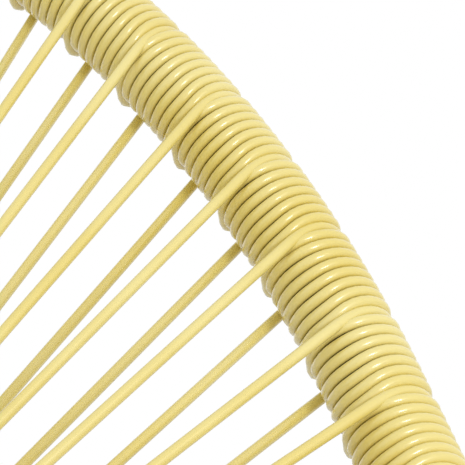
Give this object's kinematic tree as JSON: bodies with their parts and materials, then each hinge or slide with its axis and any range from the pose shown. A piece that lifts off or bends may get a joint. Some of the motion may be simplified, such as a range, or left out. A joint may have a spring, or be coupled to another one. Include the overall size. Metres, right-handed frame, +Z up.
{
  "type": "acapulco chair",
  "caption": "Round-backed outdoor lounge chair: bent steel hoop wound with plastic cord, cord seat strings to a small inner ring, and a bolted three-legged tube base.",
  "frame": {"origin": "on the floor, below the middle of the chair's outline", "axes": "+X to the sitter's left, +Y to the back, +Z up"},
  "size_m": [0.7204, 0.7372, 0.8128],
  "materials": {
    "cord": "glossy pale yellow plastic cord",
    "frame": "dark brown powder coat",
    "fasteners": "zinc plated steel",
    "feet": "matt black rubber"
  },
  "bodies": {
    "root": {"hoop_tube": "frame", "inner_ring": "frame", "cord_sector_01": "cord", "cord_sector_02": "cord", "cord_sector_03": "cord", "cord_sector_04": "cord", "cord_sector_05": "cord", "cord_sector_06": "cord", "cord_sector_07": "cord", "cord_sector_08": "cord", "cord_sector_09": "cord", "cord_sector_10": "cord", "cord_sector_11": "cord", "cord_sector_12": "cord", "cord_sector_13": "cord", "cord_sector_14": "cord", "cord_sector_15": "cord", "cord_sector_16": "cord", "cord_sector_17": "cord", "cord_sector_18": "cord", "cord_sector_19": "cord", "cord_sector_20": "cord", "cord_sector_21": "cord", "cord_sector_22": "cord", "cord_sector_23": "cord", "cord_sector_24": "cord", "cord_sector_25": "cord", "cord_sector_26": "cord", "lug_front_left": "frame", "lug_front_right": "frame", "lug_rear_left": "frame", "lug_rear_right": "frame", "bolt_front_left": "fasteners", "bolt_front_right": "fasteners", "bolt_rear_left": "fasteners", "bolt_rear_right": "fasteners", "nut_front_left": "fasteners", "nut_front_right": "fasteners", "nut_rear_left": "fasteners", "nut_rear_right": "fasteners", "leg_front_left": "frame", "leg_front_right": "frame", "leg_rear": "frame", "cross_bar": "frame", "clamp_cap": "frame", "clamp_bolt_left": "fasteners", "clamp_bolt_right": "fasteners", "clamp_nut_left": "fasteners", "clamp_nut_right": "fasteners", "brace_front": "frame", "brace_left": "frame", "brace_right": "frame", "ring_stay_left": "frame", "ring_stay_right": "frame", "foot_front_left": "feet", "foot_front_right": "feet", "foot_rear": "feet"}
  },
  "joints": []
}
